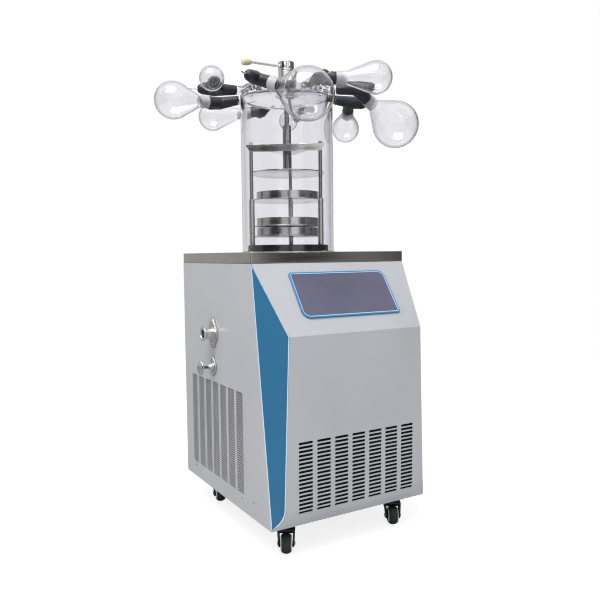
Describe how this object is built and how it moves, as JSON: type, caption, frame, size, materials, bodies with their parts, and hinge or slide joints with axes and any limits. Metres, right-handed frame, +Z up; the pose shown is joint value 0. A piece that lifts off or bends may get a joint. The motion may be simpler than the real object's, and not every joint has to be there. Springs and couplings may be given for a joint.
{
  "type": "freeze dryer",
  "caption": "Floor-standing laboratory freeze dryer with a clear drying chamber, a screw-press shelf rack and a manifold of rubber valves with glass flasks",
  "frame": {"origin": "on the floor under the middle of the object's box", "axes": "+X to the object's right seen from its front, +Y to its rear, +Z up; the front with the display faces -Y"},
  "size_m": [0.6762, 0.6664, 1.2694],
  "materials": {
    "stainless": "brushed stainless steel",
    "polished": "polished stainless steel",
    "grey_paint": "satin grey powder coat",
    "blue_paint": "satin blue paint",
    "window": "tinted gloss window",
    "acrylic": "clear acrylic",
    "glass": "clear blown glass",
    "rubber": "black moulded rubber",
    "tread": "solid rubber tread",
    "black_plastic": "black",
    "ivory": "ivory"
  },
  "bodies": {
    "dryer": {"worktop": "stainless", "side_panel_left": "grey_paint", "side_panel_right": "grey_paint", "rear_panel": "grey_paint", "base_pan": "grey_paint", "front_fascia": "grey_paint", "cheek_left": "blue_paint", "cheek_right": "blue_paint", "display_window": "window", "vacuum_port": "polished", "drain_valve_body": "polished", "cold_trap_well": "stainless", "chamber_drum": "acrylic", "chamber_lid": "acrylic", "press_housing": "polished", "rack_base": "stainless", "rack_top_plate": "stainless", "shelf_1": "stainless", "tray_1": "stainless", "shelf_2": "stainless", "tray_2": "stainless", "shelf_3": "stainless", "tray_3": "stainless", "valve_body_1": "rubber", "flask_1": "glass", "valve_body_2": "rubber", "flask_2": "glass", "valve_body_3": "rubber", "flask_3": "glass", "valve_body_4": "rubber", "flask_4": "glass", "valve_body_5": "rubber", "flask_5": "glass", "valve_body_6": "rubber", "flask_6": "glass", "valve_body_7": "rubber", "flask_7": "glass", "valve_body_8": "rubber", "flask_8": "glass"},
    "lever": {"lever_cap": "polished", "lever_knob": "ivory"},
    "press": {"press_spindle": "polished", "press_plate": "stainless"},
    "drain_knob": {"drain_valve_knob": "polished"},
    "fork_front_left": {"caster_fork_front_left": "black_plastic"},
    "wheel_front_left": {"caster_wheel_front_left": "tread"},
    "fork_front_right": {"caster_fork_front_right": "black_plastic"},
    "wheel_front_right": {"caster_wheel_front_right": "tread"},
    "fork_rear_left": {"caster_fork_rear_left": "black_plastic"},
    "wheel_rear_left": {"caster_wheel_rear_left": "tread"},
    "fork_rear_right": {"caster_fork_rear_right": "black_plastic"},
    "wheel_rear_right": {"caster_wheel_rear_right": "tread"},
    "plug_1": {"valve_plug_1": "rubber"},
    "plug_2": {"valve_plug_2": "rubber"},
    "plug_3": {"valve_plug_3": "rubber"},
    "plug_4": {"valve_plug_4": "rubber"},
    "plug_5": {"valve_plug_5": "rubber"},
    "plug_6": {"valve_plug_6": "rubber"},
    "plug_7": {"valve_plug_7": "rubber"},
    "plug_8": {"valve_plug_8": "rubber"}
  },
  "joints": [
    {"name": "lever_turn", "type": "hinge", "parent": "dryer", "child": "lever", "pos_m": [-0.00321, 0.01233, 1.25637], "axis": [0, 0, -1], "range_deg": [0, 1080]},
    {"name": "press_travel", "type": "slide", "parent": "dryer", "child": "press", "axis": [0, 0, -1], "range_m": [0, 0.045]},
    {"name": "drain_turn", "type": "hinge", "parent": "dryer", "child": "drain_knob", "pos_m": [-0.27531, 0.02233, 0.42637], "axis": [-1, 0, 0], "range_deg": [0, 360]},
    {"name": "swivel_front_left", "type": "hinge", "parent": "dryer", "child": "fork_front_left", "pos_m": [-0.16822, -0.25167, 0.07], "axis": [0, 0, 1], "continuous": true},
    {"name": "roll_front_left", "type": "hinge", "parent": "fork_front_left", "child": "wheel_front_left", "pos_m": [-0.1758, -0.26461, 0.02437], "axis": [0.8628, -0.5055, 0], "continuous": true},
    {"name": "swivel_front_right", "type": "hinge", "parent": "dryer", "child": "fork_front_right", "pos_m": [0.16179, -0.25167, 0.07], "axis": [0, 0, 1], "continuous": true},
    {"name": "roll_front_right", "type": "hinge", "parent": "fork_front_right", "child": "wheel_front_right", "pos_m": [0.1542, -0.26461, 0.02437], "axis": [0.8628, -0.5055, 0], "continuous": true},
    {"name": "swivel_rear_left", "type": "hinge", "parent": "dryer", "child": "fork_rear_left", "pos_m": [-0.16822, 0.15333, 0.07], "axis": [0, 0, 1], "continuous": true},
    {"name": "roll_rear_left", "type": "hinge", "parent": "fork_rear_left", "child": "wheel_rear_left", "pos_m": [-0.17336, 0.13924, 0.02437], "axis": [0.9394, -0.3429, 0], "continuous": true},
    {"name": "swivel_rear_right", "type": "hinge", "parent": "dryer", "child": "fork_rear_right", "pos_m": [0.16179, 0.15333, 0.07], "axis": [0, 0, 1], "continuous": true},
    {"name": "roll_rear_right", "type": "hinge", "parent": "fork_rear_right", "child": "wheel_rear_right", "pos_m": [0.15664, 0.13924, 0.02437], "axis": [0.9394, -0.3429, 0], "continuous": true},
    {"name": "plug_turn_1", "type": "hinge", "parent": "dryer", "child": "plug_1", "pos_m": [-0.18953, -0.13552, 1.17476], "axis": [-0.7823, -0.6208, -0.052], "range_deg": [0, 180]},
    {"name": "plug_turn_2", "type": "hinge", "parent": "dryer", "child": "plug_2", "pos_m": [-0.03041, -0.22396, 1.17476], "axis": [-0.1142, -0.9921, -0.052], "range_deg": [0, 180]},
    {"name": "plug_turn_3", "type": "hinge", "parent": "dryer", "child": "plug_3", "pos_m": [0.14464, -0.17399, 1.17476], "axis": [0.6208, -0.7823, -0.052], "range_deg": [0, 180]},
    {"name": "plug_turn_4", "type": "hinge", "parent": "dryer", "child": "plug_4", "pos_m": [0.23308, -0.01487, 1.17476], "axis": [0.9921, -0.1142, -0.052], "range_deg": [0, 180]},
    {"name": "plug_turn_5", "type": "hinge", "parent": "dryer", "child": "plug_5", "pos_m": [0.1831, 0.16018, 1.17476], "axis": [0.7823, 0.6208, -0.052], "range_deg": [0, 180]},
    {"name": "plug_turn_6", "type": "hinge", "parent": "dryer", "child": "plug_6", "pos_m": [0.02398, 0.24862, 1.17476], "axis": [0.1142, 0.9921, -0.052], "range_deg": [0, 180]},
    {"name": "plug_turn_7", "type": "hinge", "parent": "dryer", "child": "plug_7", "pos_m": [-0.15107, 0.19865, 1.17476], "axis": [-0.6208, 0.7823, -0.052], "range_deg": [0, 180]},
    {"name": "plug_turn_8", "type": "hinge", "parent": "dryer", "child": "plug_8", "pos_m": [-0.23951, 0.03953, 1.17476], "axis": [-0.9921, 0.1142, -0.052], "range_deg": [0, 180]}
  ],
  "couplings": [
    {"joint": "lever_turn", "follows": "press_travel", "rad_per_m": 418.88}
  ]
}
